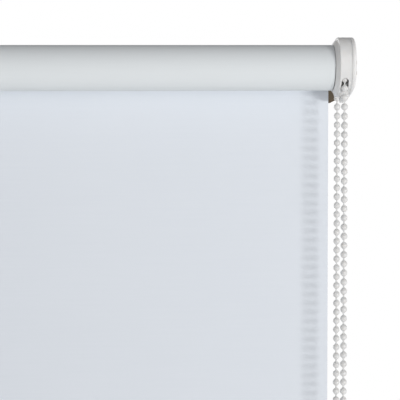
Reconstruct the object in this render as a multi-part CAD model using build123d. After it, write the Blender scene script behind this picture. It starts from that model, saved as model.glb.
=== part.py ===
from build123d import *
import math
import os

# A roller blind, lowered, with a bead-chain control unit at its right end.
# +X runs along the roller towards the control unit, +Y points at the wall, +Z is up.
# The origin is on the wall, midway between the brackets, level with the roller's axis. Millimetres.

# ---- driving dimensions ----
FABRIC_WIDTH = 600.0
DROP = 1000.0
AXIS_TO_WALL = 32.0
FABRIC_THICKNESS = 0.44
FABRIC_WRAPS = 2.5

TUBE_RADIUS = 14.0
TUBE_WALL = 0.9
TAPE_THICKNESS = 0.15
TAPE_ANGLE = 50.0

BEAD_DIAMETER = 4.5
BEAD_PITCH = 6.0
BEAD_CORD_DIAMETER = 1.1
WHEEL_POCKETS = 15
LOOP_PITCHES = 229

HOUSING_GAP = 2.4
HOUSING_WIDTH = 10.6
HOUSING_RADIUS = 19.6
HOUSING_BACK_SLOPE = 0.45
HOUSING_CORNER_RADIUS = 14.5
HOUSING_TAPER_TOP = 8.0
HOUSING_TAPER_RADIUS = 22.0
LIP_DEPTH = 22.8
LIP_INSET = 3.1
HOUSING_INNER_WALL = 0.85
CONE_HEIGHT = 2.1
CONE_TIP_RADIUS = 15.6
CONE_BORE_RADIUS = 14.4
COVER_THICKNESS = 3.0
SEAM_WIDTH = 0.4
SEAM_DEPTH = 0.3
SEAM_BOTTOM = -10.0
CHAIN_INSET = 3.5
CHAIN_CLEARANCE = 0.3
SLOT_CLEARANCE = 0.15
CAVITY_RADIUS = 17.0
SLOT_TOP = -9.5

SHAFT_RADIUS = 6.0
RUNNING_FIT = 0.05
SHAFT_LENGTH = 50.0
HUB_NECK_RADIUS = 10.0
HUB_BORE_RADIUS = 8.8
RIB_REACH = 0.1
RIB_WIDTH = 1.6
RIB_COUNT = 8
PLUG_LENGTH = 38.0
FLANGE_THICKNESS = 1.2
SPRING_WIRE = 1.1
SPRING_TURNS = 9

BRACKET_THICKNESS = 1.5
BRACKET_FLANGE_WIDTH = 30.0
BRACKET_TOP = 14.8
BRACKET_BOTTOM = -22.8
BRACKET_FRONT_HALF_HEIGHT = 11.0
BRACKET_FRONT_REACH = 7.5
BRACKET_CORNER_WIDTH = 11.0
BRACKET_CORNER_HEIGHT = 5.5
PRONG_REACH = 1.5
SCREW_HOLE_RADIUS = 2.3
SCREW_HOLE_SPACING = 24.0

PIN_RADIUS = 3.0
PIN_HEAD_RADIUS = 4.9
PIN_REACH = 7.2
PIN_CAVITY_RADIUS = 5.2
CAP_DISH_RADIUS = 14.5
CAP_DISH_DEPTH = 0.6
IDLE_BRACKET_GAP = 6.3

RAIL_HEIGHT = 22.0
RAIL_DEPTH = 4.9
RAIL_CAP_THICKNESS = 1.5
BAR_CLEARANCE = 0.3

# ---- worked-out places ----
AXIS_Y = -AXIS_TO_WALL
HALF_WIDTH = FABRIC_WIDTH / 2
ROLL_RADIUS = TUBE_RADIUS + FABRIC_WRAPS * FABRIC_THICKNESS
SHEET_Y = AXIS_Y + ROLL_RADIUS - FABRIC_THICKNESS / 2
SHEET_TOP = -5.0
RAIL_TOP = -DROP + RAIL_HEIGHT
WHEEL_PITCH_RADIUS = WHEEL_POCKETS * BEAD_PITCH / (2 * math.pi)
HOUSING_X = HALF_WIDTH + HOUSING_GAP
HOUSING_END_X = HOUSING_X + HOUSING_WIDTH
COVER_X = HOUSING_END_X - COVER_THICKNESS
LIP_X = HOUSING_X + LIP_INSET
CHAIN_X = HOUSING_X + CHAIN_INSET
CAVITY_X = HOUSING_X + HOUSING_INNER_WALL
HUB_END_X = HALF_WIDTH - PLUG_LENGTH
SHAFT_END_X = HOUSING_END_X - SHAFT_LENGTH - 2.0
IDLE_BRACKET_X = -HALF_WIDTH - IDLE_BRACKET_GAP
HOLES_Z = (BRACKET_TOP + BRACKET_BOTTOM) / 2
BEAD_RADIUS = BEAD_DIAMETER / 2
TUBE_INNER_RADIUS = TUBE_RADIUS - TUBE_WALL
LOOP_LENGTH = LOOP_PITCHES * BEAD_PITCH + BEAD_PITCH / 2
LOOP_BOTTOM = -((LOOP_LENGTH - math.pi * WHEEL_PITCH_RADIUS) / 2 + WHEEL_PITCH_RADIUS)


# ---- helpers ----
def section_plane(x):
    """Plane across the roller at x, centred on its axis: local x is +Y, local y is +Z."""
    return Plane(origin=(x, AXIS_Y, 0), x_dir=(0, 1, 0), z_dir=(1, 0, 0))


def along_roller(profile, x_from, x_to):
    """Extrude a cross-section drawn about the roller's axis from x_from to x_to."""
    return extrude(section_plane(x_from) * profile, amount=x_to - x_from)


def rod(x_from, x_to, radius):
    return along_roller(Circle(radius), x_from, x_to)


def ring(x_from, x_to, outer_radius, inner_radius):
    return along_roller(Circle(outer_radius) - Circle(inner_radius), x_from, x_to)


def about_axis(angle):
    """Turn something that was made about the X axis by angle, on the roller's axis."""
    return Pos(0, AXIS_Y, 0) * Rot(angle, 0, 0)


def edges_at_x(shape, x):
    return [edge for edge in shape.edges() if all(abs(v.X - x) < 0.001 for v in edge.vertices())]


def ribs(x_from, x_to, inner_radius, outer_radius):
    """Ribs along the roller, evenly spaced round its axis."""
    height = outer_radius - inner_radius
    middle = (x_from + x_to) / 2
    bars = []
    for index in range(RIB_COUNT):
        bar = Pos(middle, 0, inner_radius + height / 2) * Box(x_to - x_from, RIB_WIDTH, height)
        bars.append(about_axis(360 / RIB_COUNT * index) * bar)
    return bars


def coil(x_from, inner_radius, turns, wire):
    """Closed turns of square wire, side by side, as separate solids."""
    gap = wire * 0.08
    turn_list = []
    for index in range(turns):
        x = x_from + index * (wire + gap)
        turn_list.append(ring(x, x + wire, inner_radius + wire, inner_radius))
    return turn_list


def racetrack(depth, height):
    """Flat oval standing on its end: depth along Y, height along Z."""
    return Rotation(0, 0, 90) * SlotOverall(height, depth)


# ---- roller: tube, fabric, drive hub, idle plug ----
def make_roller_tube():
    return ring(-HALF_WIDTH, HALF_WIDTH, TUBE_RADIUS, TUBE_INNER_RADIUS)


def make_fabric_tape():
    """Strip of double-sided tape under the fabric's first wrap."""
    band = ring(-HALF_WIDTH + 2, HALF_WIDTH - 2, TUBE_RADIUS + TAPE_THICKNESS, TUBE_RADIUS)
    half_chord = 2 * TUBE_RADIUS * math.sin(math.radians(TAPE_ANGLE / 2))
    window = Pos(0, 0, TUBE_RADIUS) * Box(FABRIC_WIDTH, half_chord, 8)
    return band & (about_axis(0) * window)


def make_fabric_roll(tape):
    wound = ring(-HALF_WIDTH, HALF_WIDTH, ROLL_RADIUS, TUBE_RADIUS)
    return wound - tape


def make_drive_hub():
    """Ribbed plug that turns the tube; its neck reaches the chain wheel, its bore holds the springs."""
    hub = rod(HUB_END_X, HALF_WIDTH, TUBE_INNER_RADIUS - 1.5)
    hub += rod(HALF_WIDTH, HALF_WIDTH + FLANGE_THICKNESS, TUBE_RADIUS - 0.1)
    hub += rod(HALF_WIDTH, CAVITY_X + 0.3, HUB_NECK_RADIUS)
    for bar in ribs(HUB_END_X + 2, HALF_WIDTH, TUBE_INNER_RADIUS - 2.5, TUBE_INNER_RADIUS - RIB_REACH):
        hub += bar
    hub -= rod(HUB_END_X + 4, CAVITY_X + 0.3, HUB_BORE_RADIUS)
    hub -= rod(HUB_END_X, HUB_END_X + 4, SHAFT_RADIUS + RUNNING_FIT)
    return hub


def make_wrap_spring(x_from):
    """Friction spring on the core shaft: closed turns and one tang that stands out to the hub."""
    turns = coil(x_from, SHAFT_RADIUS + RUNNING_FIT, SPRING_TURNS, SPRING_WIRE)
    outer = SHAFT_RADIUS + RUNNING_FIT + SPRING_WIRE
    reach = HUB_BORE_RADIUS - 0.1 - outer + 0.3
    tang_place = Pos(x_from + SPRING_WIRE / 2, 0, outer - 0.3 + reach / 2)
    turns[0] = turns[0] + about_axis(35) * tang_place * Box(SPRING_WIRE, SPRING_WIRE, reach)
    return Compound(children=turns)


def make_chain_wheel():
    """Wheel with a groove and one round pocket for each bead; its outer flange keeps the beads in."""
    wheel = rod(CAVITY_X + CHAIN_CLEARANCE, CHAIN_X + BEAD_RADIUS + 1.2, CAVITY_RADIUS - 0.4)
    groove = Torus(WHEEL_PITCH_RADIUS, BEAD_RADIUS + CHAIN_CLEARANCE)
    wheel -= Pos(CHAIN_X, AXIS_Y, 0) * Rot(0, 90, 0) * groove
    wheel -= ring(
        CAVITY_X,
        CHAIN_X + BEAD_RADIUS + CHAIN_CLEARANCE,
        WHEEL_PITCH_RADIUS + 4,
        WHEEL_PITCH_RADIUS,
    )
    for index in range(WHEEL_POCKETS):
        angle = 360 / WHEEL_POCKETS * index
        pocket = Pos(CHAIN_X, 0, WHEEL_PITCH_RADIUS) * Sphere(BEAD_RADIUS + 0.65)
        wheel -= about_axis(angle) * pocket
    wheel += rod(CHAIN_X + BEAD_RADIUS + 1.2, COVER_X - 0.3, HUB_NECK_RADIUS - 1)
    wheel -= rod(CAVITY_X, COVER_X, SHAFT_RADIUS + RUNNING_FIT)
    return wheel


def make_idle_plug():
    """Ribbed plug in the tube's idle end, hollow for the sprung pin."""
    inner_x = -HALF_WIDTH + PLUG_LENGTH
    plug = rod(-HALF_WIDTH, inner_x, TUBE_INNER_RADIUS - 1.5)
    plug += rod(-HALF_WIDTH - FLANGE_THICKNESS, -HALF_WIDTH, TUBE_RADIUS - 0.1)
    for bar in ribs(-HALF_WIDTH, inner_x - 2, TUBE_INNER_RADIUS - 2.5, TUBE_INNER_RADIUS - RIB_REACH):
        plug += bar
    plug -= rod(-HALF_WIDTH - FLANGE_THICKNESS, inner_x - 5, PIN_CAVITY_RADIUS)
    return plug


def make_pin_ring():
    """Ring at the plug's mouth that the pin's head rests against."""
    mouth_x = -HALF_WIDTH - FLANGE_THICKNESS
    return ring(mouth_x, mouth_x + 4, PIN_CAVITY_RADIUS, PIN_RADIUS + RUNNING_FIT)


def make_idle_pin():
    """Sprung pin: tip, head that stops on the ring, and a thin tail inside the spring."""
    mouth_x = -HALF_WIDTH - FLANGE_THICKNESS
    tip_x = mouth_x - PIN_REACH
    head_x = mouth_x + 4.1
    pin = rod(tip_x, head_x, PIN_RADIUS)
    pin = chamfer(edges_at_x(pin, tip_x), 0.6)
    pin += rod(head_x, head_x + 3, PIN_HEAD_RADIUS)
    pin += rod(head_x + 3, head_x + 12, PIN_RADIUS - 0.4)
    return pin


def make_pin_spring():
    """Coil spring between the pin's head and the end of the plug's bore, as evenly spaced turns."""
    first_x = -HALF_WIDTH - FLANGE_THICKNESS + 4.1 + 3
    last_x = -HALF_WIDTH + PLUG_LENGTH - 5
    wire = 0.9
    count = 9
    step = (last_x - first_x - wire) / (count - 1)
    turns = []
    for index in range(count):
        x = first_x + index * step
        turns.append(ring(x, x + wire, PIN_RADIUS + 1.5, PIN_RADIUS + 0.6))
    return Compound(children=turns)


# ---- control unit: core shaft, springs' stop, housing ----
def make_core_shaft():
    """Fixed shaft inside the hub; two prongs on its outer end hook through the bracket."""
    shaft = rod(SHAFT_END_X, HOUSING_END_X, SHAFT_RADIUS)
    shaft -= rod(SHAFT_END_X, SHAFT_END_X + 16, 1.5)
    for side in (-1, 1):
        length = BRACKET_THICKNESS + PRONG_REACH
        shaft += Pos(HOUSING_END_X + length / 2, AXIS_Y, side * 3.4) * Box(length, 6.2, 2.4)
    return shaft


def make_retaining_washer():
    return ring(SHAFT_END_X - 1.2, SHAFT_END_X, SHAFT_RADIUS + 2.5, 1.7)


def make_retaining_screw():
    """Pan-head screw in the shaft's inner end, with a cross recess."""
    head_x = SHAFT_END_X - 1.2
    screw = rod(head_x - 2.2, head_x, 3.2)
    screw = fillet(edges_at_x(screw, head_x - 2.2), 1.0)
    screw += rod(head_x, SHAFT_END_X + 12, 1.5)
    for angle in (0, 90):
        screw -= about_axis(angle) * (Pos(head_x - 2.2, 0, 0) * Box(2.4, 0.8, 3.6))
    return screw


def housing_outline():
    """Side view of the housing: a round, fuller at the upper front and flat at the upper back."""
    upper_front = Pos(-HOUSING_RADIUS / 2, HOUSING_RADIUS / 2) * Rectangle(HOUSING_RADIUS, HOUSING_RADIUS)
    corner = [v for v in upper_front.vertices() if v.X < -1 and v.Y > 1]
    outline = Circle(HOUSING_RADIUS) + fillet(corner, HOUSING_CORNER_RADIUS)
    drop = HOUSING_BACK_SLOPE * HOUSING_RADIUS
    above_back = Polygon(
        (0.5, HOUSING_RADIUS),
        (HOUSING_RADIUS + 0.5, HOUSING_RADIUS - drop),
        (HOUSING_RADIUS + 0.5, HOUSING_RADIUS + 1),
        (0.5, HOUSING_RADIUS + 1),
        align=None,
    )
    return outline - above_back


def lip_outline():
    """Side view of the fin that stands down between the chain's strands."""
    lip = Polygon((-10, -10), (-8, -LIP_DEPTH), (4, -LIP_DEPTH), (7, -10), align=None)
    return fillet([v for v in lip.vertices() if v.Y < -LIP_DEPTH + 1], 2.5)


def housing_taper():
    """What is cut away below the housing's outer side, along an arc that narrows it towards the lip."""
    centre_x = HOUSING_END_X - HOUSING_TAPER_RADIUS
    reach = HOUSING_TAPER_RADIUS + 10
    below = Pos(centre_x + reach / 2, -HOUSING_TAPER_TOP - reach / 2) * Rectangle(reach, reach)
    profile = below - Pos(centre_x, -HOUSING_TAPER_TOP) * Circle(HOUSING_TAPER_RADIUS)
    return extrude(Plane.XZ * profile, amount=AXIS_TO_WALL + 40)


def make_housing_blank():
    blank = along_roller(housing_outline(), HOUSING_X, HOUSING_END_X)
    blank += along_roller(lip_outline(), LIP_X, HOUSING_END_X)
    blank = fillet(edges_at_x(blank, HOUSING_END_X), 1.2)
    blank = fillet(edges_at_x(blank, HOUSING_X), 0.6)
    return blank - housing_taper()


def seam_groove():
    """Shallow groove round the rim where the cover meets the body, from the back down to the taper."""
    inside = offset(housing_outline(), -SEAM_DEPTH)
    band = along_roller(Circle(2 * HOUSING_RADIUS) - inside, COVER_X, COVER_X + SEAM_WIDTH)
    reach = 4 * HOUSING_RADIUS
    above_lip = Pos(COVER_X, AXIS_Y, SEAM_BOTTOM + reach / 2) * Box(reach, reach, reach)
    return band & above_lip


def chain_slots():
    """Ways down for the two strands, open to the rim low at the front and at the back."""
    half = BEAD_RADIUS + SLOT_CLEARANCE
    bottom = -LIP_DEPTH - 3
    height = SLOT_TOP - bottom
    cuts = []
    for side in (-1, 1):
        strand = side * WHEEL_PITCH_RADIUS
        inner = strand - side * (half + 0.3)
        outer = side * (HOUSING_RADIUS + 5)
        middle = (inner + outer) / 2
        slot = Pos(CHAIN_X, AXIS_Y + middle, bottom + height / 2) * Box(2 * half, abs(outer - inner), height)
        arch_plane = Plane(origin=(CHAIN_X, AXIS_Y + inner, SLOT_TOP), x_dir=(1, 0, 0), z_dir=(0, side, 0))
        arch = extrude(arch_plane * Circle(half), amount=abs(outer - inner))
        way_down = Pos(CHAIN_X, AXIS_Y + strand, bottom / 2) * Box(2 * half, 2 * half + 0.6, -bottom)
        cuts += [slot, arch, way_down]
    return cuts


def make_housing_body(blank):
    """Main shell: a low cone towards the roll, rim, lip, and the chain wheel's round chamber."""
    body = blank & Pos(COVER_X - 25, AXIS_Y, 0) * Box(50, 80, 80)
    cone = Cone(HOUSING_RADIUS - 1.2, CONE_TIP_RADIUS, CONE_HEIGHT)
    body += Pos(HOUSING_X - CONE_HEIGHT / 2, AXIS_Y, 0) * Rot(0, -90, 0) * cone
    body -= rod(HOUSING_X - CONE_HEIGHT, HOUSING_X, CONE_BORE_RADIUS)
    body -= rod(CAVITY_X, COVER_X, CAVITY_RADIUS)
    body -= rod(HOUSING_X, COVER_X, HUB_NECK_RADIUS + 0.4)
    for cut in chain_slots():
        body -= cut
    return body


def make_housing_cover(blank):
    """Outer plate of the housing, held between the shaft's shoulder and the bracket."""
    cover = blank & Pos(COVER_X + 25, AXIS_Y, 0) * Box(50, 80, 80)
    cover -= seam_groove()
    return cover - rod(COVER_X, HOUSING_END_X, SHAFT_RADIUS)


# ---- brackets ----
def make_bracket(inner_x, side):
    """Bent steel bracket: an arm across the roller's end and a flange on the wall, with two screw holes."""
    outline = Polygon(
        (-BRACKET_FRONT_REACH, BRACKET_FRONT_HALF_HEIGHT),
        (-BRACKET_FRONT_REACH, -BRACKET_FRONT_HALF_HEIGHT),
        (AXIS_TO_WALL, -BRACKET_TOP),
        (AXIS_TO_WALL, BRACKET_TOP),
        align=None,
    )
    outline = fillet([v for v in outline.vertices() if v.X < 0], 6)
    arm = along_roller(outline, inner_x, inner_x + side * BRACKET_THICKNESS)
    outer_x = inner_x + side * BRACKET_THICKNESS
    flange_x = outer_x - side * BRACKET_FLANGE_WIDTH / 2
    flange_points = [
        (outer_x, BRACKET_TOP),
        (outer_x - side * BRACKET_FLANGE_WIDTH, BRACKET_TOP),
        (outer_x - side * BRACKET_FLANGE_WIDTH, BRACKET_BOTTOM),
        (outer_x - side * BRACKET_CORNER_WIDTH, BRACKET_BOTTOM),
        (outer_x, BRACKET_BOTTOM + BRACKET_CORNER_HEIGHT),
    ]
    flange_profile = make_face(Polyline(*flange_points, close=True))
    free_corners = [v for v in flange_profile.vertices() if abs(v.X - outer_x) > BRACKET_CORNER_WIDTH + 1]
    flange_profile = fillet(free_corners, 3)
    flange = extrude(Plane.XZ * flange_profile, amount=BRACKET_THICKNESS)
    corner = Pos((inner_x + outer_x) / 2, -BRACKET_THICKNESS / 2, 0) * Box(
        BRACKET_THICKNESS, BRACKET_THICKNESS, 2 * BRACKET_TOP
    )
    bracket = arm + flange + corner
    bend = [
        edge
        for edge in bracket.edges()
        if abs(edge.center().X - outer_x) < 0.01 and abs(edge.center().Y) < 0.01 and edge.length > 30
    ]
    bracket = fillet(bend, 1.2)
    for row in (-1, 1):
        hole_z = HOLES_Z + row * SCREW_HOLE_SPACING / 2
        bracket -= Pos(flange_x, 0, hole_z) * Rot(90, 0, 0) * Cylinder(SCREW_HOLE_RADIUS, 8)
    return bracket


def make_control_bracket():
    bracket = make_bracket(HOUSING_END_X, 1)
    for row in (-1, 1):
        bracket -= Pos(HOUSING_END_X, AXIS_Y, row * 3.4) * Box(6, 6.4, 2.6)
    return bracket


def make_idle_bracket():
    bracket = make_bracket(IDLE_BRACKET_X, -1)
    return bracket - rod(IDLE_BRACKET_X - 4, IDLE_BRACKET_X + 1, PIN_RADIUS + 1.5)


def make_idle_bush():
    """Collared bush in the idle bracket, where the pin turns."""
    outer_x = IDLE_BRACKET_X - BRACKET_THICKNESS
    bush = ring(outer_x, IDLE_BRACKET_X + 1, PIN_RADIUS + 1.5, PIN_RADIUS + RUNNING_FIT)
    return bush + ring(IDLE_BRACKET_X, IDLE_BRACKET_X + 1, PIN_RADIUS + 3.5, PIN_RADIUS + RUNNING_FIT)


def make_idle_cover():
    """Round cap over the idle bracket, cut away at the back for the bracket's arm."""
    outer_x = IDLE_BRACKET_X - BRACKET_THICKNESS - 4
    inner_x = -HALF_WIDTH - HOUSING_GAP - 0.6
    cap = rod(outer_x, inner_x, HOUSING_RADIUS)
    cap = fillet(edges_at_x(cap, outer_x), 1.2)
    cap -= rod(outer_x, outer_x + CAP_DISH_DEPTH, CAP_DISH_RADIUS)
    cap = fillet(edges_at_x(cap, outer_x), 0.3)
    cap -= rod(outer_x + 1.8, inner_x, HOUSING_RADIUS - 1.5)
    arm_slot_x = IDLE_BRACKET_X - BRACKET_THICKNESS / 2
    cap -= Pos(arm_slot_x, AXIS_Y + HOUSING_RADIUS, 0) * Box(BRACKET_THICKNESS + 0.6, 32, 45)
    cap += ring(outer_x + 1.8, IDLE_BRACKET_X - BRACKET_THICKNESS, 9, 7.6)
    return cap


# ---- fabric sheet and bottom rail ----
def make_fabric_sheet():
    length = SHEET_TOP - RAIL_TOP
    return Pos(0, SHEET_Y, SHEET_TOP - length / 2) * Box(FABRIC_WIDTH, FABRIC_THICKNESS, length)


def rail_section(clearance):
    """Cross-section of the rail, pulled in all round by clearance; its front is level with the sheet's."""
    profile = racetrack(RAIL_DEPTH - 2 * clearance, RAIL_HEIGHT - 2 * clearance)
    behind_axis = ROLL_RADIUS - FABRIC_THICKNESS + RAIL_DEPTH / 2
    return Pos(behind_axis, RAIL_TOP - RAIL_HEIGHT / 2) * profile


def make_hem_pocket():
    profile = rail_section(0) - rail_section(FABRIC_THICKNESS)
    return along_roller(profile, -HALF_WIDTH, HALF_WIDTH)


def make_weight_bar():
    inset = FABRIC_THICKNESS + BAR_CLEARANCE
    return along_roller(rail_section(inset), -HALF_WIDTH + 4, HALF_WIDTH - 4)


def make_rail_cap(side):
    """End cap: a face as large as the pocket, and a tongue that plugs it."""
    face_x = side * (HALF_WIDTH + RAIL_CAP_THICKNESS)
    cap = along_roller(rail_section(0), side * HALF_WIDTH, face_x)
    cap = fillet(edges_at_x(cap, face_x), 0.6)
    tongue = along_roller(rail_section(FABRIC_THICKNESS), side * (HALF_WIDTH - 4), side * HALF_WIDTH)
    return cap + tongue


# ---- bead chain ----
CORNER = WHEEL_PITCH_RADIUS * math.tan(math.radians(22.5))
U_TOP = LOOP_BOTTOM + WHEEL_PITCH_RADIUS
CHAIN_ROUTE = [
    (-WHEEL_PITCH_RADIUS, 0),
    (-WHEEL_PITCH_RADIUS, U_TOP - CORNER),
    (-CORNER, LOOP_BOTTOM),
    (CORNER, LOOP_BOTTOM),
    (WHEEL_PITCH_RADIUS, U_TOP - CORNER),
    (WHEEL_PITCH_RADIUS, 0),
]


def make_bead_chain():
    """Hanging loop of the chain as a plain tube: front strand, half turn, back strand."""
    points = [(CHAIN_X, AXIS_Y + out, z) for out, z in CHAIN_ROUTE]
    half_turn = math.radians(45) / 2
    shorter_run = 2 * CORNER
    radius = 0.45 * shorter_run / math.tan(half_turn)
    path = FilletPolyline(*points, radius=[radius] * (len(points) - 2))
    start = Plane(origin=points[0], z_dir=(0, 0, -1))
    tube = sweep(start * Circle(BEAD_RADIUS), path=path)
    section = math.pi * BEAD_RADIUS**2
    print("chain radii", round(radius, 2), "length", round(path.length, 1))
    print("chain volume / (section x length)", round(tube.volume / (section * path.length), 4))
    return tube


def make_wheel_beads():
    """Beads that lie in the wheel's upper pockets, on the cord that joins them."""
    half_ring = Pos(CHAIN_X, AXIS_Y, 0) * Rot(0, 90, 0) * Torus(WHEEL_PITCH_RADIUS, BEAD_CORD_DIAMETER / 2)
    beads = half_ring & Pos(CHAIN_X, AXIS_Y, 50) * Box(20, 100, 100)
    for index in range(-3, 4):
        angle = 360 / WHEEL_POCKETS * index
        beads += about_axis(angle) * (Pos(CHAIN_X, 0, WHEEL_PITCH_RADIUS) * Sphere(BEAD_RADIUS))
    return beads


def make_chain_connector():
    """Two-part barrel that joins the chain's ends, on the back strand."""
    place = Pos(CHAIN_X, AXIS_Y + WHEEL_PITCH_RADIUS, LOOP_BOTTOM + 120)
    barrel = fillet(Cylinder(3.2, 14).edges(), 1.2)
    return place * (barrel - Cylinder(BEAD_RADIUS, 14))


# ---- all parts ----
def make_parts():
    tape = make_fabric_tape()
    blank = make_housing_blank()
    return {
        "control_bracket": make_control_bracket(),
        "idle_bracket": make_idle_bracket(),
        "idle_bracket_bush": make_idle_bush(),
        "idle_bracket_cover": make_idle_cover(),
        "chain_housing": make_housing_body(blank),
        "chain_housing_cover": make_housing_cover(blank),
        "core_shaft": make_core_shaft(),
        "retaining_washer": make_retaining_washer(),
        "retaining_screw": make_retaining_screw(),
        "chain_wheel": make_chain_wheel(),
        "drive_hub": make_drive_hub(),
        "wrap_spring_inner": make_wrap_spring(HUB_END_X + 6),
        "wrap_spring_outer": make_wrap_spring(HUB_END_X + 21),
        "roller_tube": make_roller_tube(),
        "fabric_tape": tape,
        "fabric_roll": make_fabric_roll(tape),
        "idle_plug": make_idle_plug(),
        "idle_pin_ring": make_pin_ring(),
        "idle_pin": make_idle_pin(),
        "idle_pin_spring": make_pin_spring(),
        "fabric_sheet": make_fabric_sheet(),
        "hem_pocket": make_hem_pocket(),
        "weight_bar": make_weight_bar(),
        "rail_cap_left": make_rail_cap(-1),
        "rail_cap_right": make_rail_cap(1),
        "bead_chain": make_bead_chain(),
        "wheel_beads": make_wheel_beads(),
        "chain_connector": make_chain_connector(),
    }


if __name__ == "__main__":
    os.makedirs("parts", exist_ok=True)
    for node, shape in make_parts().items():
        export_step(shape, f"parts/{node}.step")
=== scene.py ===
import math
import random

import bpy
import numpy as np
from mathutils import Euler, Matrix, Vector


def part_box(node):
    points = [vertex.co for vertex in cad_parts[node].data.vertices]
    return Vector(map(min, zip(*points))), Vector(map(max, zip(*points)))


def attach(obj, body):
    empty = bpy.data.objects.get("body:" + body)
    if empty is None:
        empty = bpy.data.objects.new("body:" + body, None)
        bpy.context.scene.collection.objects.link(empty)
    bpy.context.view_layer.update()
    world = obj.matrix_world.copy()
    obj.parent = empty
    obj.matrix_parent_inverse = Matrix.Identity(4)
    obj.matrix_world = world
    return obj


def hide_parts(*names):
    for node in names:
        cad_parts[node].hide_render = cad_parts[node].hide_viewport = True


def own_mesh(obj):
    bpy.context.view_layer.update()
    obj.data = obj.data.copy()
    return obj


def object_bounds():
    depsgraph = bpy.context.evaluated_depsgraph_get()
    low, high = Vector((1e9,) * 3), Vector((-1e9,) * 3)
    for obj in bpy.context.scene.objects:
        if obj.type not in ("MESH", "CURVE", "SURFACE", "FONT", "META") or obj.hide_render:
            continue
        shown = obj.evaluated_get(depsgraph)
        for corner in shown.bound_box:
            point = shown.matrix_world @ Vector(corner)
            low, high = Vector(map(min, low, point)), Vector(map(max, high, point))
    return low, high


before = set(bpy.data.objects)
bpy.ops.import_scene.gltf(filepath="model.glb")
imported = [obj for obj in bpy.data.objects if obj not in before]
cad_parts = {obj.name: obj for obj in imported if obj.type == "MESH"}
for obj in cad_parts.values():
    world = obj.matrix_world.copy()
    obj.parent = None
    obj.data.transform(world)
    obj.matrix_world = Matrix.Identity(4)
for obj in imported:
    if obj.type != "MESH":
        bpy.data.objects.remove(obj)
CAD_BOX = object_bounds()

MM = 0.001
SEED = 7

# ---- places taken from the frame ----
ROLL_LOW, ROLL_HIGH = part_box("fabric_roll")
SHEET_LOW, SHEET_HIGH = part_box("fabric_sheet")
HEM_LOW, HEM_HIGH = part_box("hem_pocket")
CONNECTOR_LOW, CONNECTOR_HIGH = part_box("chain_connector")
CHAIN_LOW, CHAIN_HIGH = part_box("bead_chain")
AXIS_Y = (ROLL_LOW[1] + ROLL_HIGH[1]) / 2
HALF_WIDTH = ROLL_HIGH[0]
ROLL_RADIUS = (ROLL_HIGH[2] - ROLL_LOW[2]) / 2
SHEET_Y = (SHEET_LOW[1] + SHEET_HIGH[1]) / 2
FABRIC_THICKNESS = SHEET_HIGH[1] - SHEET_LOW[1]

# ---- bead chain ----
BEAD_DIAMETER = 4.5 * MM
BEAD_PITCH = 6 * MM
BEAD_NECK_DIAMETER = 1.9 * MM
BEAD_CORD_DIAMETER = 1.1 * MM
BEAD_FIRST = 1.5 * MM
WHEEL_POCKETS = 15
STRAND = WHEEL_POCKETS * BEAD_PITCH / math.tau
LOOP_LENGTH = 1377 * MM
LOOP_BOTTOM = -((LOOP_LENGTH - math.pi * STRAND) / 2 + STRAND)
CORNER = STRAND * math.tan(math.radians(22.5))
CORNER_Z = LOOP_BOTTOM + STRAND - CORNER
STRAIGHT_END_Z = CORNER_Z + 6 * BEAD_DIAMETER
CHAIN_X = (CHAIN_LOW[0] + CHAIN_HIGH[0]) / 2
CHAIN_ROUTE = [
    (CHAIN_X, AXIS_Y - STRAND, 0),
    (CHAIN_X, AXIS_Y - STRAND, STRAIGHT_END_Z),
    (CHAIN_X, AXIS_Y - STRAND, CORNER_Z),
    (CHAIN_X, AXIS_Y - CORNER, LOOP_BOTTOM),
    (CHAIN_X, AXIS_Y + CORNER, LOOP_BOTTOM),
    (CHAIN_X, AXIS_Y + STRAND, CORNER_Z),
    (CHAIN_X, AXIS_Y + STRAND, STRAIGHT_END_Z),
    (CHAIN_X, AXIS_Y + STRAND, 0),
]


# ---- camera ----
SENSOR_WIDTH = 36
LENS = 119.4
CAMERA_PLACE = (HALF_WIDTH - 0.1418, AXIS_Y - 0.8665, -0.0277)
CAMERA_YAW = -3.62
CAMERA_PITCH = 90 - 3.85
CAMERA_ROLL = -0.17


def make_camera():
    """Long lens a little below the roller, left of the control unit, looking slightly right and down."""
    data = bpy.data.cameras.new("camera")
    data.sensor_width = SENSOR_WIDTH
    data.lens = LENS
    camera = bpy.data.objects.new("camera", data)
    camera.location = CAMERA_PLACE
    yaw, pitch, roll = (math.radians(angle) for angle in (CAMERA_YAW, CAMERA_PITCH, CAMERA_ROLL))
    turn = Euler((pitch, 0, yaw), "XYZ").to_matrix() @ Euler((0, 0, roll), "XYZ").to_matrix()
    camera.rotation_euler = turn.to_euler()
    bpy.context.collection.objects.link(camera)
    bpy.context.scene.camera = camera


# ---- mesh helpers ----
def make_object(name, points, faces, material, smooth=True, uvs=None):
    """New mesh object; uvs, if given, holds one pair for each point."""
    mesh = bpy.data.meshes.new(name)
    mesh.from_pydata([tuple(point) for point in points], [], [tuple(face) for face in faces])
    mesh.validate()
    mesh.update()
    mesh.polygons.foreach_set("use_smooth", [smooth] * len(mesh.polygons))
    if uvs is not None:
        layer = mesh.uv_layers.new(name="UVMap")
        corners = np.empty(len(mesh.loops), dtype=np.int32)
        mesh.loops.foreach_get("vertex_index", corners)
        layer.data.foreach_set("uv", np.asarray(uvs, dtype=np.float32)[corners].ravel())
    mesh.materials.append(material)
    piece = bpy.data.objects.new(name, mesh)
    bpy.context.collection.objects.link(piece)
    return piece


def soften_edges(piece, degrees):
    """Smooth shading with hard edges kept where faces meet at more than the given angle."""
    piece.data.set_sharp_from_angle(angle=math.radians(degrees))


def grid_faces(rows, columns, start=0, around=False):
    """Quads of a grid of points stored row after row; around closes each row on itself."""
    faces = []
    last = columns if around else columns - 1
    for row in range(rows - 1):
        for column in range(last):
            following = (column + 1) % columns
            low = start + row * columns
            high = low + columns
            faces.append((low + column, low + following, high + following, high + column))
    return faces


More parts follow.
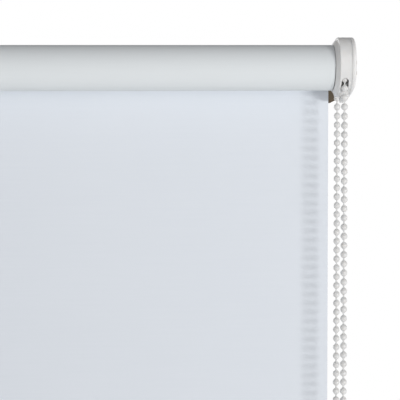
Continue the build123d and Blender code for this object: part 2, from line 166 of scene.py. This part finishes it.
def cloth_faces(rows, columns):
    """Faces of a thin closed cloth: two grids of points, one after the other, joined along their rim."""
    layer = rows * columns
    outside = [tuple(reversed(face)) for face in grid_faces(rows, columns)]
    inside = grid_faces(rows, columns, start=layer)
    last_row = (rows - 1) * columns
    rim = list(range(columns))
    rim += [row * columns + columns - 1 for row in range(1, rows)]
    rim += [last_row + column for column in range(columns - 2, -1, -1)]
    rim += [row * columns for row in range(rows - 2, 0, -1)]
    edges = [(here, there, layer + there, layer + here) for here, there in zip(rim, rim[1:] + rim[:1])]
    return outside + inside + edges


def lathe(profile, segments):
    """Points and quads of a profile of (radius, height) pairs turned about the Z axis, closed at its ends."""
    angles = np.linspace(0, math.tau, segments, endpoint=False)
    points = [
        (radius * math.cos(angle), radius * math.sin(angle), height)
        for radius, height in profile
        for angle in angles
    ]
    faces = grid_faces(len(profile), segments, around=True)
    faces.append(tuple(reversed(range(segments))))
    faces.append(tuple(range(len(points) - segments, len(points))))
    return np.array(points), faces


ROUTE_ORDER = 3
ROUTE_RESOLUTION = 48


def route_line(name, route):
    """Points read from a smooth spline with the route's points as its control points."""
    curve = bpy.data.curves.new(name, "CURVE")
    curve.dimensions = "3D"
    spline = curve.splines.new("NURBS")
    spline.points.add(len(route) - 1)
    for control, place in zip(spline.points, route):
        control.co = (*place, 1)
    spline.order_u = ROUTE_ORDER
    spline.use_endpoint_u = True
    spline.resolution_u = ROUTE_RESOLUTION
    holder = bpy.data.objects.new(name, curve)
    bpy.context.collection.objects.link(holder)
    bpy.context.view_layer.update()
    mesh = bpy.data.meshes.new_from_object(holder)
    line = np.array([vertex.co for vertex in mesh.vertices])
    bpy.data.objects.remove(holder)
    bpy.data.curves.remove(curve)
    return line


LOOK_AHEAD = 0.5 * MM


def places_along(line, distances):
    """Points and directions at the given distances along a line of points."""
    steps = np.linalg.norm(np.diff(line, axis=0), axis=1)
    travelled = np.concatenate([[0], np.cumsum(steps)])

    def at(wanted):
        return np.stack([np.interp(wanted, travelled, line[:, axis]) for axis in range(3)], axis=1)

    directions = at(distances + LOOK_AHEAD) - at(distances - LOOK_AHEAD)
    return at(distances), directions / np.linalg.norm(directions, axis=1)[:, None]


# ---- materials ----
class Nodes:
    """Short way to build a material's node tree."""

    def __init__(self, name):
        self.material = bpy.data.materials.new(name)
        self.material.use_nodes = True
        self.tree = self.material.node_tree
        self.shader = self.tree.nodes["Principled BSDF"]
        self.bump_normal = None

    def add(self, kind, **values):
        node = self.tree.nodes.new(kind)
        for key, value in values.items():
            if hasattr(node, key):
                setattr(node, key, value)
            else:
                node.inputs[key.replace("_", " ").capitalize()].default_value = value
        return node

    def link(self, output, target):
        self.tree.links.new(output, target)

    def coordinates(self, kind="Object"):
        return self.add("ShaderNodeTexCoord").outputs[kind]

    def stretched(self, source, scale):
        mapping = self.add("ShaderNodeMapping")
        mapping.inputs["Scale"].default_value = scale
        self.link(source, mapping.inputs["Vector"])
        return mapping.outputs["Vector"]

    def noise(self, source, scale, detail, roughness=0.55):
        node = self.add("ShaderNodeTexNoise", Scale=scale, Detail=detail, Roughness=roughness)
        self.link(source, node.inputs["Vector"])
        return node.outputs["Fac"]

    def threads(self, source, axis, scale):
        node = self.add("ShaderNodeTexWave", wave_type="BANDS", bands_direction=axis)
        node.inputs["Scale"].default_value = scale
        node.inputs["Distortion"].default_value = 0
        self.link(source, node.inputs["Vector"])
        return node.outputs["Fac"]

    def maths(self, operation, first, second):
        node = self.add("ShaderNodeMath", operation=operation)
        for socket, value in zip(node.inputs, (first, second)):
            if isinstance(value, (int, float)):
                socket.default_value = value
            else:
                self.link(value, socket)
        return node.outputs[0]

    def between(self, factor, low, high):
        """Maps a factor of 0 to 1 to a number from low to high."""
        node = self.add("ShaderNodeMapRange")
        node.inputs["To Min"].default_value = low
        node.inputs["To Max"].default_value = high
        self.link(factor, node.inputs["Value"])
        return node.outputs["Result"]

    def colours(self, factor, low, high):
        node = self.add("ShaderNodeMix", data_type="RGBA")
        node.inputs["A"].default_value = (*low, 1)
        node.inputs["B"].default_value = (*high, 1)
        self.link(factor, node.inputs["Factor"])
        return node.outputs["Result"]

    def bump(self, height, distance, strength):
        """Adds a bump of that many metres on top of the ones made before."""
        node = self.add("ShaderNodeBump")
        node.inputs["Strength"].default_value = strength
        node.inputs["Distance"].default_value = distance
        self.link(height, node.inputs["Height"])
        if self.bump_normal is not None:
            self.link(self.bump_normal, node.inputs["Normal"])
        self.bump_normal = node.outputs["Normal"]

    def finish(self, colour=None, roughness=None):
        if colour is not None:
            self.link(colour, self.shader.inputs["Base Color"])
        if roughness is not None:
            self.link(roughness, self.shader.inputs["Roughness"])
        if self.bump_normal is not None:
            self.link(self.bump_normal, self.shader.inputs["Normal"])
        return self.material


THREAD_PITCH = 0.42 * MM
BAND_SPACING = math.tau / 20  # between a wave texture's bands, at a scale of 1


def fabric_material(name, low, high):
    """Smooth polyester: fine plain weave, a few thicker threads across, faint cloudy tone."""
    nodes = Nodes(name)
    flat = nodes.coordinates("UV")
    warp = nodes.threads(flat, "X", BAND_SPACING / THREAD_PITCH)
    weft = nodes.threads(flat, "Y", BAND_SPACING / THREAD_PITCH)
    weave = nodes.maths("MULTIPLY", warp, weft)
    slubs = nodes.noise(nodes.stretched(flat, (18, 900, 1)), 1.0, 2.0)
    clouds = nodes.noise(flat, 9.0, 2.0)
    tone = nodes.maths("ADD", nodes.maths("MULTIPLY", slubs, 0.5), nodes.maths("MULTIPLY", clouds, 0.5))
    nodes.bump(weave, 0.05 * MM, 0.5)
    nodes.bump(slubs, 0.06 * MM, 0.3)
    nodes.shader.inputs["Sheen Weight"].default_value = 0.08
    nodes.shader.inputs["Sheen Roughness"].default_value = 0.5
    nodes.shader.inputs["Specular IOR Level"].default_value = 0.3
    return nodes.finish(nodes.colours(tone, low, high), nodes.between(weave, 0.72, 0.86))


def plastic_material(name, low, high, roughness=(0.34, 0.46), milky=0.0):
    """Moulded plastic: fine spark-eroded grain and a slightly cloudy tone; milky lets light into its body."""
    nodes = Nodes(name)
    place = nodes.coordinates()
    clouds = nodes.noise(place, 120.0, 2.0)
    fine = nodes.noise(place, 3500.0, 2.0, 0.7)
    nodes.bump(fine, 0.012 * MM, 0.6)
    nodes.shader.inputs["Subsurface Weight"].default_value = milky
    nodes.shader.inputs["Subsurface Radius"].default_value = (1.0, 0.95, 0.9)
    nodes.shader.inputs["Subsurface Scale"].default_value = 3 * MM
    return nodes.finish(nodes.colours(clouds, low, high), nodes.between(fine, *roughness))


def bead_material():
    """Milky moulded beads: glossy skin over a slightly translucent body."""
    nodes = Nodes("bead_plastic")
    place = nodes.coordinates()
    clouds = nodes.noise(place, 260.0, 2.0)
    nodes.bump(nodes.noise(place, 1500.0, 2.0), 0.01 * MM, 0.5)
    nodes.shader.inputs["Subsurface Weight"].default_value = 0.35
    nodes.shader.inputs["Subsurface Radius"].default_value = (1.0, 0.95, 0.9)
    nodes.shader.inputs["Subsurface Scale"].default_value = 1.2 * MM
    return nodes.finish(
        nodes.colours(clouds, (0.72, 0.715, 0.705), (0.79, 0.785, 0.775)), nodes.between(clouds, 0.24, 0.34)
    )


def metal_material(name, low, high, roughness, stretch, metallic=1.0):
    """Rolled or drawn metal: streaks along one axis and small spots of wear."""
    nodes = Nodes(name)
    place = nodes.coordinates()
    streaks = nodes.noise(nodes.stretched(place, stretch), 1.0, 4.0)
    spots = nodes.noise(place, 400.0, 4.0, 0.7)
    tone = nodes.maths("ADD", nodes.maths("MULTIPLY", streaks, 0.5), nodes.maths("MULTIPLY", spots, 0.5))
    nodes.bump(streaks, 0.01 * MM, 0.5)
    nodes.shader.inputs["Metallic"].default_value = metallic
    return nodes.finish(nodes.colours(tone, low, high), nodes.between(tone, *roughness))


def clear_material():
    """Clear moulded plastic of the chain connector, slightly frosted."""
    nodes = Nodes("clear_plastic")
    place = nodes.coordinates()
    haze = nodes.noise(place, 300.0, 2.0)
    nodes.shader.inputs["Transmission Weight"].default_value = 0.6
    nodes.shader.inputs["IOR"].default_value = 1.49
    tone = nodes.colours(haze, (0.80, 0.82, 0.83), (0.9, 0.91, 0.92))
    return nodes.finish(tone, nodes.between(haze, 0.14, 0.3))


def matte_material(name, colour):
    nodes = Nodes(name)
    tone = nodes.noise(nodes.coordinates(), 1.5, 2.0)
    darker = tuple(0.97 * channel for channel in colour)
    return nodes.finish(nodes.colours(tone, darker, colour), nodes.between(tone, 0.85, 0.95))


def make_materials():
    return {
        "fabric": fabric_material("blind_fabric", (0.74, 0.78, 0.835), (0.79, 0.825, 0.875)),
        "roll": fabric_material("wound_fabric", (0.74, 0.775, 0.79), (0.79, 0.82, 0.835)),
        "white": plastic_material("white_plastic", (0.76, 0.755, 0.745), (0.82, 0.815, 0.805), milky=0.6),
        "grey": plastic_material("grey_plastic", (0.42, 0.43, 0.44), (0.48, 0.49, 0.50)),
        "nylon": plastic_material("nylon", (0.72, 0.71, 0.66), (0.78, 0.77, 0.72)),
        "bead": bead_material(),
        # Bracket steel: the yellow-brown hue is the passivated zinc's own, but its very low brightness is
        # painted shade. It is darkened so the flange seen in the gap between sheet and housing looks shaded.
        "bracket": metal_material(
            "passivated_steel_painted_shade", (0.055, 0.041, 0.026), (0.11, 0.083, 0.055), (0.36, 0.52), (60, 60, 900), 0.6
        ),
        "steel": metal_material(
            "spring_steel", (0.42, 0.42, 0.43), (0.58, 0.58, 0.59), (0.22, 0.38), (900, 90, 90)
        ),
        "aluminium": metal_material(
            "aluminium", (0.6, 0.61, 0.62), (0.74, 0.75, 0.76), (0.25, 0.4), (20, 900, 900)
        ),
        "tape": plastic_material("adhesive_tape", (0.62, 0.60, 0.52), (0.70, 0.68, 0.60), (0.5, 0.7)),
        "clear": clear_material(),
    }


# ---- bead chain ----
NECK_REACH = 0.12 * MM
NECK_BEVEL = 0.1 * MM
NECK_TAPER = 0.8
BALL_ROWS = 11
BALL_SEGMENTS = 20
CORD_SEGMENTS = 8


def bead_profile():
    """Half outline of one ball with a short neck at each end, as (radius, height) pairs."""
    radius = BEAD_DIAMETER / 2
    neck = BEAD_NECK_DIAMETER / 2
    neck_angle = math.asin(neck / radius)
    angles = np.linspace(-math.pi / 2 + neck_angle, math.pi / 2 - neck_angle, BALL_ROWS)
    ball = [(radius * math.cos(angle), radius * math.sin(angle)) for angle in angles]
    end = radius + NECK_REACH
    lower = [(NECK_TAPER * neck, -end), (neck, -end + NECK_BEVEL)]
    upper = [(neck, end - NECK_BEVEL), (NECK_TAPER * neck, end)]
    return lower + ball + upper


def aligned(points, place, direction, spin):
    """Points made about the Z axis, turned to a direction and moved to a place."""
    rotation = Vector(direction).to_track_quat("Z", "Y").to_matrix() @ Euler((0, 0, spin)).to_matrix()
    return points @ np.array(rotation).T + place


def tube_along(line, radius, segments):
    """Points and quads of a round tube that follows a line of points in a plane of constant X."""
    steps = np.gradient(line, axis=0)
    ahead = steps / np.linalg.norm(steps, axis=1)[:, None]
    side = np.tile([1.0, 0.0, 0.0], (len(line), 1))
    other = np.cross(ahead, side)
    angles = np.linspace(0, math.tau, segments, endpoint=False)
    points = [
        centre + radius * (math.cos(angle) * across + math.sin(angle) * along)
        for centre, across, along in zip(line, side, other)
        for angle in angles
    ]
    faces = grid_faces(len(line), segments, around=True)
    faces.append(tuple(reversed(range(segments))))
    faces.append(tuple(range(len(points) - segments, len(points))))
    return np.array(points), faces


def make_bead_chain(materials):
    """The hanging loop: balls at an even pitch on a thin cord."""
    line = route_line("chain_route", CHAIN_ROUTE)
    length = float(np.linalg.norm(np.diff(line, axis=0), axis=1).sum())
    gaps = round((length - 2 * BEAD_FIRST) / BEAD_PITCH)
    distances = np.linspace(BEAD_FIRST, length - BEAD_FIRST, gaps + 1)
    places, directions = places_along(line, distances)
    ball_points, ball_faces = lathe(bead_profile(), BALL_SEGMENTS)
    cord_stops, _ = places_along(line, np.linspace(0, length, 2 * gaps + 3))
    cord_points, cord_faces = tube_along(cord_stops, BEAD_CORD_DIAMETER / 2, CORD_SEGMENTS)
    draw = random.Random(SEED)
    points = [cord_points]
    faces = list(cord_faces)
    count = len(cord_points)
    for place, direction in zip(places, directions):
        points.append(aligned(ball_points, place, direction, draw.uniform(0, math.tau)))
        faces += [tuple(count + corner for corner in face) for face in ball_faces]
        count += len(ball_points)
    chain = make_object("bead_chain_loop", np.concatenate(points), faces, materials["bead"])
    soften_edges(chain, 50)
    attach(chain, "frame")
    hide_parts("bead_chain")
    connector = make_connector(materials)


CONNECTOR_CLEARANCE = 0.15 * MM
CONNECTOR_SEGMENTS = 28


def make_connector(materials):
    """Snap connector on the back strand: a barrel with a waist, end collars and a grip ring."""
    half = (CONNECTOR_HIGH[2] - CONNECTOR_LOW[2]) / 2
    outer = (CONNECTOR_HIGH[0] - CONNECTOR_LOW[0]) / 2
    inner = BEAD_DIAMETER / 2 + CONNECTOR_CLEARANCE
    collar = 0.94 * outer
    waist = 0.86 * outer
    upper = [(outer, 0.6 * MM), (waist, 0.9 * MM), (waist, half - 2.6 * MM), (collar, half - 2 * MM)]
    upper += [(collar, half - 0.5 * MM), (0.82 * outer, half), (inner, half)]
    shape = [(radius, -height) for radius, height in reversed(upper)] + upper
    segments = CONNECTOR_SEGMENTS
    angles = np.linspace(0, math.tau, segments, endpoint=False)
    centre = [(low + high) / 2 for low, high in zip(CONNECTOR_LOW, CONNECTOR_HIGH)]
    points = [
        (centre[0] + radius * math.cos(angle), centre[1] + radius * math.sin(angle), centre[2] + height)
        for radius, height in shape
        for angle in angles
    ]
    faces = grid_faces(len(shape), segments, around=True)
    last = (len(shape) - 1) * segments
    for index in range(segments):
        following = (index + 1) % segments
        faces.append((last + index, last + following, following, index))
    connector = make_object("chain_snap_connector", points, faces, materials["clear"])
    soften_edges(connector, 40)
    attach(connector, "frame")
    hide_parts("chain_connector")
    return connector


# ---- fabric ----
SHEET_COLUMNS = 121
SHEET_ROWS = 181
EDGE_CURL = 0.5 * MM
EDGE_CURL_WIDTH = 14 * MM
SHEET_WAVE = 0.35 * MM
WAVE_ACROSS = 3.1
WAVE_SLANT = 4.0
WAVE_DOWN = 2.2 * math.pi


def sheet_offset(across, down):
    """How far the hanging fabric stands off its plane: edges that curl a little, and one slow wave."""
    held = math.sin(math.pi * min(1.0, max(0.0, down))) ** 0.5
    from_edge = HALF_WIDTH - abs(across)
    curl = EDGE_CURL * math.exp(-from_edge / EDGE_CURL_WIDTH)
    slanted = math.sin(across / HALF_WIDTH * WAVE_ACROSS + WAVE_SLANT * down)
    wave = SHEET_WAVE * slanted * math.sin(WAVE_DOWN * down)
    return held * (curl + wave)


def make_fabric_drop(materials, hem):
    """The fabric between the roll and the bottom rail, as a thin closed sheet."""
    columns = np.linspace(-HALF_WIDTH, HALF_WIDTH, SHEET_COLUMNS)
    top = SHEET_HIGH[2]
    bottom = SHEET_LOW[2]
    rows = np.linspace(0, 1, SHEET_ROWS)
    points = []
    uvs = []
    for side in (-1, 1):
        for row in rows:
            z = top + (bottom - top) * row
            for x in columns:
                points.append((x, SHEET_Y + sheet_offset(x, row) + side * FABRIC_THICKNESS / 2, z))
                uvs.append((x, z))
    faces = cloth_faces(SHEET_ROWS, SHEET_COLUMNS)
    sheet = make_object("fabric_drop", points, faces, materials["fabric"], uvs=uvs)
    soften_edges(sheet, 50)
    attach(sheet, "frame")
    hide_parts("fabric_sheet")
    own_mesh(sheet)


WRAP_THICKNESS = 0.36 * MM
WRAP_PITCH = 0.38 * MM
WRAP_TURNS = 1.9
WRAP_STEPS_PER_TURN = 96
WRAP_COLUMNS = 41
WRAP_END_LOW = -0.25 * MM
WRAP_END_HIGH = 0.1 * MM


def make_wound_fabric(materials):
    """Fabric on the tube: a spiral whose outer end leaves at the back, where the sheet hangs."""
    steps = round(WRAP_TURNS * WRAP_STEPS_PER_TURN) + 1
    turns = np.linspace(0, WRAP_TURNS, steps)
    outer_middle = ROLL_RADIUS - WRAP_THICKNESS / 2
    draw = random.Random(SEED)
    end_shift = [draw.uniform(WRAP_END_LOW, WRAP_END_HIGH) for _ in range(4)]
    points = []
    uvs = []
    for side in (1, -1):
        for turn in turns:
            radius = outer_middle - WRAP_PITCH * turn + side * WRAP_THICKNESS / 2
            angle = math.tau * turn
            telescoping = np.interp(turn, range(4), end_shift)
            for share in np.linspace(-1, 1, WRAP_COLUMNS):
                x = share * HALF_WIDTH + (telescoping if abs(share) == 1 and turn > 0.5 else 0) * share
                points.append((x, AXIS_Y + radius * math.cos(angle), radius * math.sin(angle)))
                uvs.append((x, radius * angle))
    roll = make_object("wound_fabric", points, cloth_faces(steps, WRAP_COLUMNS), materials["roll"], uvs=uvs)
    soften_edges(roll, 50)
    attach(roll, "roller")
    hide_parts("fabric_roll")


HEM_COLUMNS = 121
HEM_ARC_POINTS = 15
SHOULDER_POINTS = 5
WELD_BOTTOM = 6 * MM
WELD_HEIGHT = 9 * MM
INNER_SHARE = 0.9


def hem_outline():
    """Outer line of the hem in (y, z): down the front, round the bar and up onto the sheet's back."""
    front = HEM_LOW[1]
    back = HEM_HIGH[1]
    bottom = HEM_LOW[2]
    top = HEM_HIGH[2]
    radius = (back - front) / 2
    centre = (front + back) / 2
    line = [(front, top), (front, top - 4 * MM), (front, bottom + 2 * radius)]
    for angle in np.linspace(math.pi, math.tau, HEM_ARC_POINTS):
        line.append((centre + radius * math.cos(angle), bottom + radius + radius * math.sin(angle)))
    line.append((back, bottom + 2 * radius))
    for angle in np.linspace(0, math.pi / 4, SHOULDER_POINTS):
        line.append((centre + radius * math.cos(angle), top - radius + radius * math.sin(angle)))
    weld_y = front + 2 * FABRIC_THICKNESS
    line += [(weld_y + 1.7 * MM, top + 1.2 * MM), (weld_y + 1.0 * MM, top + 2.6 * MM)]
    line += [(weld_y + 0.25 * MM, top + 4.6 * MM), (weld_y, top + WELD_BOTTOM)]
    line.append((weld_y, top + WELD_BOTTOM + WELD_HEIGHT))
    return np.array(line)


def inset_line(line, distance):
    """The same open line, moved to its left by a distance."""
    ahead = np.gradient(line, axis=0)
    ahead /= np.linalg.norm(ahead, axis=1)[:, None]
    left = np.stack([-ahead[:, 1], ahead[:, 0]], axis=1)
    return line + left * distance


def make_hem(materials):
    """Hem pocket round the weight bar: a strip of the same fabric, welded to the sheet's back."""
    outer = hem_outline()
    inner = inset_line(outer, INNER_SHARE * FABRIC_THICKNESS)
    travelled = np.concatenate([[0], np.cumsum(np.linalg.norm(np.diff(outer, axis=0), axis=1))])
    columns = np.linspace(-HALF_WIDTH, HALF_WIDTH, HEM_COLUMNS)
    points = []
    uvs = []
    for line in (outer, inner):
        for (y, z), distance in zip(line, travelled):
            for x in columns:
                points.append((x, y, z))
                uvs.append((x, SHEET_LOW[2] - distance))
    hem = make_object("hem", points, cloth_faces(len(outer), HEM_COLUMNS), materials["fabric"], uvs=uvs)
    soften_edges(hem, 40)
    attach(hem, "bottom_rail")
    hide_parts("hem_pocket")
    return hem


# ---- chain wheel ----
TOOTH_HALF_WIDTH = 0.4 * MM
TOOTH_ROOT = STRAND - 2.4 * MM
TOOTH_TIP = STRAND + 2 * MM
TOOTH_ROWS = [(-2.3 * MM, -1.1 * MM), (1.1 * MM, 2.7 * MM)]


def make_wheel_teeth(materials):
    """Thin walls between the wheel's bead pockets, in two rows with a slit between them for the cord."""
    half = TOOTH_HALF_WIDTH
    shoulder = TOOTH_TIP - half
    outline = [(half, TOOTH_ROOT), (half, shoulder), (half / 2, TOOTH_TIP)]
    outline += [(-half / 2, TOOTH_TIP), (-half, shoulder), (-half, TOOTH_ROOT)]
    points = []
    faces = []
    for index in range(WHEEL_POCKETS):
        angle = math.tau * (index + 0.5) / WHEEL_POCKETS
        for row in TOOTH_ROWS:
            start = len(points)
            for x in row:
                for across, radius in outline:
                    y = across * math.cos(angle) + radius * math.sin(angle)
                    z = radius * math.cos(angle) - across * math.sin(angle)
                    points.append((CHAIN_X + x, AXIS_Y + y, z))
            end = start + len(outline)
            faces += grid_faces(2, len(outline), start=start, around=True)
            faces.append(tuple(reversed(range(start, end))))
            faces.append(tuple(range(end, end + len(outline))))
    teeth = make_object("wheel_teeth", points, faces, materials["white"], smooth=False)
    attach(teeth, "roller")


# ---- CAD parts that stay ----
CAD_MATERIALS = {
    "control_bracket": "bracket",
    "idle_bracket": "bracket",
    "idle_bracket_bush": "nylon",
    "idle_bracket_cover": "white",
    "chain_housing": "white",
    "chain_housing_cover": "white",
    "core_shaft": "nylon",
    "retaining_washer": "steel",
    "retaining_screw": "steel",
    "chain_wheel": "white",
    "drive_hub": "grey",
    "wrap_spring_inner": "steel",
    "wrap_spring_outer": "steel",
    "roller_tube": "aluminium",
    "fabric_tape": "tape",
    "idle_plug": "grey",
    "idle_pin_ring": "nylon",
    "idle_pin": "steel",
    "idle_pin_spring": "steel",
    "weight_bar": "aluminium",
    "rail_cap_left": "white",
    "rail_cap_right": "white",
    "wheel_beads": "bead",
}


def dress_cad_parts(materials):
    for node, name in CAD_MATERIALS.items():
        for material_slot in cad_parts[node].material_slots:
            material_slot.material = materials[name]


# ---- floor, light ----
FLOOR_DROP = 0.25
FLOOR_SIZE = 9.0
FLOOR_GLOW = 0.2


def make_floor():
    """Pale floor, lit a little from within as a light table is, so that it lights the blind from below."""
    half = FLOOR_SIZE / 2
    z = CAD_BOX[0][2] - FLOOR_DROP
    corners = [(-half, -half, z), (half, -half, z), (half, half, z), (-half, half, z)]
    material = matte_material("floor", (0.82, 0.82, 0.82))
    shader = material.node_tree.nodes["Principled BSDF"]
    shader.inputs["Emission Color"].default_value = (1, 1, 1, 1)
    shader.inputs["Emission Strength"].default_value = FLOOR_GLOW
    floor = make_object("floor", corners, [(0, 1, 2, 3)], material)


HORIZON = 0.12
OVERHEAD = 0.5
OVERHEAD_COLOUR = (0.22, 0.22, 0.225, 1)


def make_world():
    """Plain white surroundings that darken overhead."""
    world = bpy.data.worlds.new("studio")
    world.use_nodes = True
    tree = world.node_tree
    background = tree.nodes["Background"]
    direction = tree.nodes.new("ShaderNodeTexCoord")
    split = tree.nodes.new("ShaderNodeSeparateXYZ")
    ramp = tree.nodes.new("ShaderNodeValToRGB")
    ramp.color_ramp.elements[0].position = HORIZON
    ramp.color_ramp.elements[0].color = (1, 1, 1, 1)
    ramp.color_ramp.elements[1].position = OVERHEAD
    ramp.color_ramp.elements[1].color = OVERHEAD_COLOUR
    tree.links.new(direction.outputs["Generated"], split.inputs["Vector"])
    tree.links.new(split.outputs["Z"], ramp.inputs["Fac"])
    tree.links.new(ramp.outputs["Color"], background.inputs["Color"])
    background.inputs["Strength"].default_value = 1.0
    bpy.context.scene.world = world


def make_softbox(name, place, target, width, height, power):
    data = bpy.data.lights.new(name, "AREA")
    data.shape = "RECTANGLE"
    data.size = width
    data.size_y = height
    data.energy = power
    lamp = bpy.data.objects.new(name, data)
    lamp.location = place
    lamp.rotation_euler = (Vector(target) - Vector(place)).to_track_quat("-Z", "Y").to_euler()
    lamp.visible_camera = False
    bpy.context.collection.objects.link(lamp)


KEY_PLACE = (HALF_WIDTH + 0.82, AXIS_Y - 1.35, -0.16)
KEY_TARGET = (HALF_WIDTH, AXIS_Y, -0.12)
KEY_WIDTH = 0.42
KEY_HEIGHT = 0.14
KEY_POWER = 10.3
BACK_PLACE = (0, 2.2, -0.4)
BACK_TARGET = (0, 0, -0.5)
BACK_SIZE = 1.6
BACK_POWER = 9


def make_lights():
    """A low strip at the front right, which shades the fabric with the chain, and a large light behind."""
    make_softbox("key", KEY_PLACE, KEY_TARGET, KEY_WIDTH, KEY_HEIGHT, KEY_POWER)
    make_softbox("back", BACK_PLACE, BACK_TARGET, BACK_SIZE, BACK_SIZE, BACK_POWER)


def main():
    make_camera()
    bpy.context.scene.view_settings.view_transform = "Standard"
    bpy.context.scene.view_settings.look = "None"
    materials = make_materials()
    make_bead_chain(materials)
    make_fabric_drop(materials, make_hem(materials))
    make_wound_fabric(materials)
    dress_cad_parts(materials)
    make_wheel_teeth(materials)
    make_world()
    make_lights()
    make_floor()


main()
